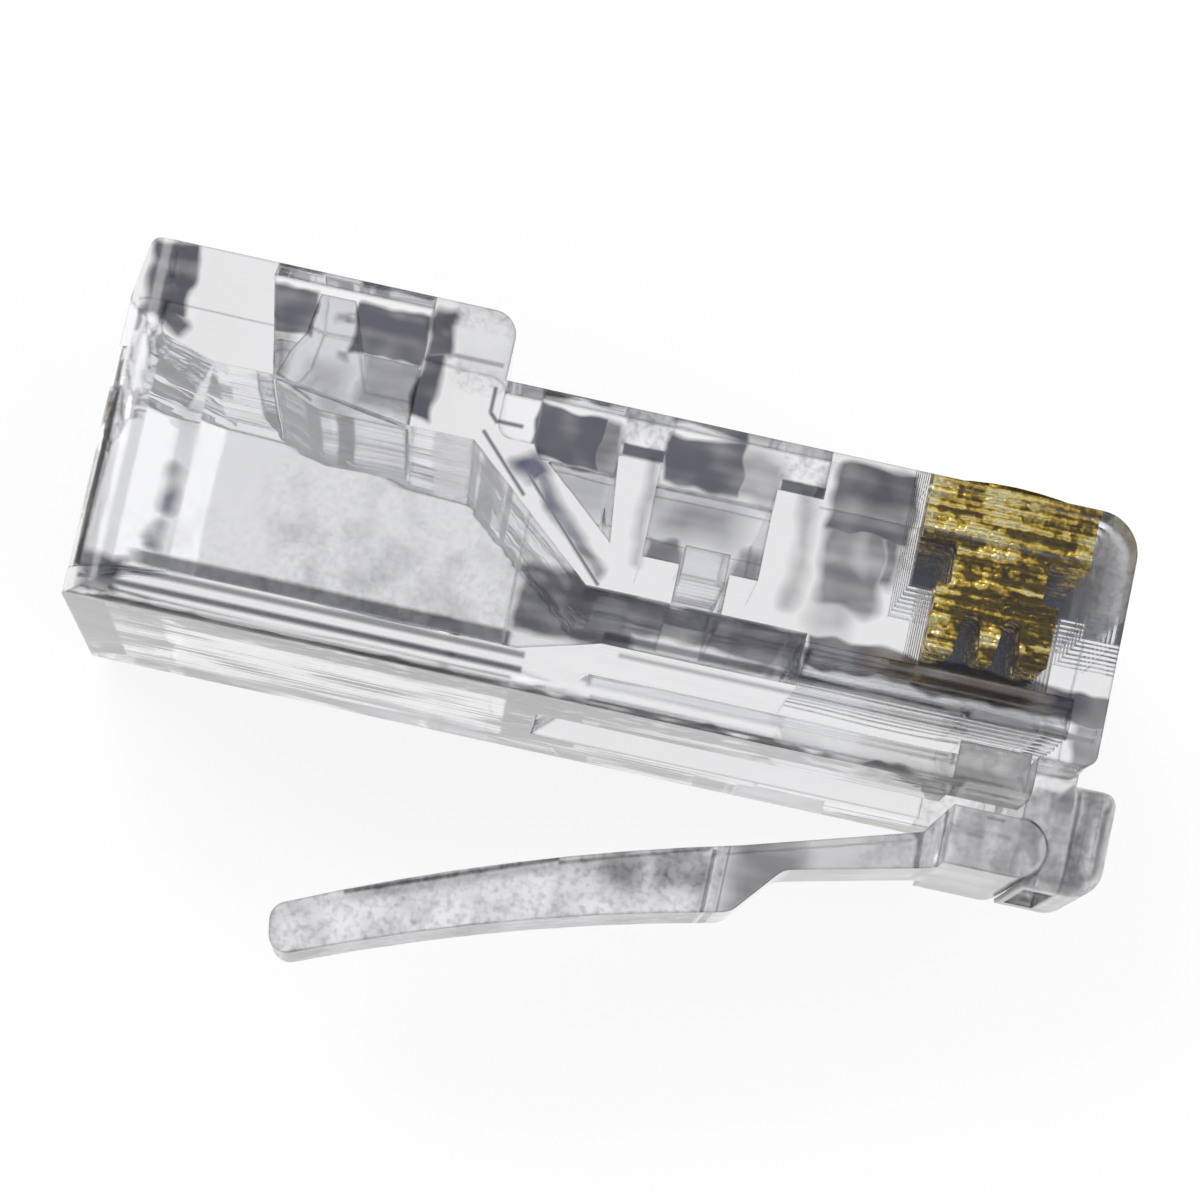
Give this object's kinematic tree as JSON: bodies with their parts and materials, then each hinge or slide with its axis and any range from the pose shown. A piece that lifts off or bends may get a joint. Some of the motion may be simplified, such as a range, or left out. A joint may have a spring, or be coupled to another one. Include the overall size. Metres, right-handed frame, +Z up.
{
  "type": "modular plug",
  "caption": "Clear modular plug before crimping: moulded housing with sprung latch, hinged cable clamp, wire clamp bar and gold-plated contact blades.",
  "frame": {"origin": "on the side face that the plug lies on, at the middle of the body's length and at half the nose's height", "axes": "+X from the cable end to the nose; +Y from the latch side to the contact side; +Z up, across the plug, from the side that it lies on to the other"},
  "size_m": [0.024, 0.0145, 0.0117],
  "materials": {
    "clear_plastic": "clear moulded polycarbonate, glossy, with frosted finger pad and tool marks",
    "gold_plate": "gold-plated copper alloy blades, lightly streaked"
  },
  "bodies": {
    "housing": {"housing": "clear_plastic"},
    "latch": {"latch": "clear_plastic"},
    "jacket_clamp": {"jacket_clamp": "clear_plastic"},
    "conductor_clamp": {"conductor_clamp": "clear_plastic"},
    "contact_1": {"contact_1": "gold_plate"},
    "contact_2": {"contact_2": "gold_plate"},
    "contact_3": {"contact_3": "gold_plate"},
    "contact_4": {"contact_4": "gold_plate"},
    "contact_5": {"contact_5": "gold_plate"},
    "contact_6": {"contact_6": "gold_plate"},
    "contact_7": {"contact_7": "gold_plate"},
    "contact_8": {"contact_8": "gold_plate"}
  },
  "joints": [
    {"name": "latch_hinge", "type": "hinge", "parent": "housing", "child": "latch", "pos_m": [0.0104, -0.00408, 0.00584], "axis": [0, 0, -1], "range_deg": [0, 17], "stiffness_Nm_per_rad": 0.15},
    {"name": "jacket_clamp_hinge", "type": "hinge", "parent": "housing", "child": "jacket_clamp", "pos_m": [-0.00491, 0.00203, 0.00584], "axis": [0, 0, 1], "range_deg": [0, 22]},
    {"name": "conductor_clamp_slide", "type": "slide", "parent": "housing", "child": "conductor_clamp", "axis": [0, -1, 0], "range_m": [0, 0.0009]},
    {"name": "contact_1_slide", "type": "slide", "parent": "housing", "child": "contact_1", "axis": [0, -1, 0], "range_m": [0, 0.0011]},
    {"name": "contact_2_slide", "type": "slide", "parent": "housing", "child": "contact_2", "axis": [0, -1, 0], "range_m": [0, 0.0011]},
    {"name": "contact_3_slide", "type": "slide", "parent": "housing", "child": "contact_3", "axis": [0, -1, 0], "range_m": [0, 0.0011]},
    {"name": "contact_4_slide", "type": "slide", "parent": "housing", "child": "contact_4", "axis": [0, -1, 0], "range_m": [0, 0.0011]},
    {"name": "contact_5_slide", "type": "slide", "parent": "housing", "child": "contact_5", "axis": [0, -1, 0], "range_m": [0, 0.0011]},
    {"name": "contact_6_slide", "type": "slide", "parent": "housing", "child": "contact_6", "axis": [0, -1, 0], "range_m": [0, 0.0011]},
    {"name": "contact_7_slide", "type": "slide", "parent": "housing", "child": "contact_7", "axis": [0, -1, 0], "range_m": [0, 0.0011]},
    {"name": "contact_8_slide", "type": "slide", "parent": "housing", "child": "contact_8", "axis": [0, -1, 0], "range_m": [0, 0.0011]}
  ]
}
